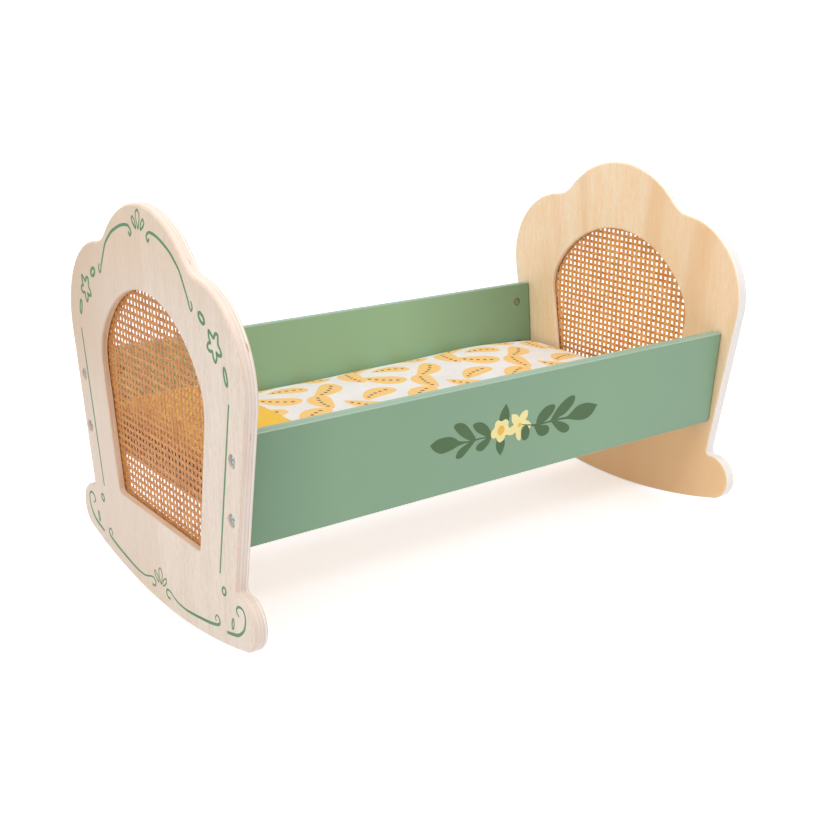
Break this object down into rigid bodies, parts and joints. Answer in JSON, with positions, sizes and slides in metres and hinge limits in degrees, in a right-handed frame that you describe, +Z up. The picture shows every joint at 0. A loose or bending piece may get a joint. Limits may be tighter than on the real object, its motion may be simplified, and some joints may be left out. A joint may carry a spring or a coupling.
{
  "type": "doll cradle",
  "caption": "Doll cradle on curved rockers with scalloped plywood ends, arched cane windows, outward-leaning painted side boards and loose bedding.",
  "frame": {"origin": "on the floor, under the middle of the cradle", "axes": "+X along the cradle from the head end to the foot end, +Y to the back, +Z up"},
  "size_m": [0.5, 0.3096, 0.317],
  "materials": {
    "birch_plywood": "clear matt lacquer on birch plywood",
    "cane_webbing": "natural split cane",
    "green_paint": "matt sage-green paint on plywood",
    "zinc_steel": "bright zinc plate",
    "plain_cotton": "plain woven cotton over a thin pad",
    "printed_cotton": "printed woven cotton over light filling",
    "yellow_cotton": "plain yellow woven cotton over light filling"
  },
  "bodies": {
    "cradle": {"head_end_outer_layer": "birch_plywood", "head_end_inner_layer": "birch_plywood", "head_end_cane": "cane_webbing", "foot_end_outer_layer": "birch_plywood", "foot_end_inner_layer": "birch_plywood", "foot_end_cane": "cane_webbing", "front_side_panel": "green_paint", "back_side_panel": "green_paint", "base_board": "birch_plywood", "head_front_upper_bolt": "zinc_steel", "head_front_lower_bolt": "zinc_steel", "head_back_upper_bolt": "zinc_steel", "head_back_lower_bolt": "zinc_steel", "foot_front_upper_bolt": "zinc_steel", "foot_front_lower_bolt": "zinc_steel", "foot_back_upper_bolt": "zinc_steel", "foot_back_lower_bolt": "zinc_steel", "head_front_upper_barrel_nut": "zinc_steel", "head_front_lower_barrel_nut": "zinc_steel", "head_back_upper_barrel_nut": "zinc_steel", "head_back_lower_barrel_nut": "zinc_steel", "foot_front_upper_barrel_nut": "zinc_steel", "foot_front_lower_barrel_nut": "zinc_steel", "foot_back_upper_barrel_nut": "zinc_steel", "foot_back_lower_barrel_nut": "zinc_steel"},
    "mattress": {"mattress": "plain_cotton"},
    "duvet": {"duvet": "printed_cotton"},
    "pillow": {"pillow": "yellow_cotton"}
  },
  "joints": [
    {"name": "mattress_lift", "type": "slide", "parent": "cradle", "child": "mattress", "axis": [0, 0, 1], "range_m": [0, 0.22]},
    {"name": "duvet_lift", "type": "slide", "parent": "mattress", "child": "duvet", "axis": [0, 0, 1], "range_m": [0, 0.21]},
    {"name": "pillow_lift", "type": "slide", "parent": "duvet", "child": "pillow", "axis": [0, 0, 1], "range_m": [0, 0.2]}
  ]
}
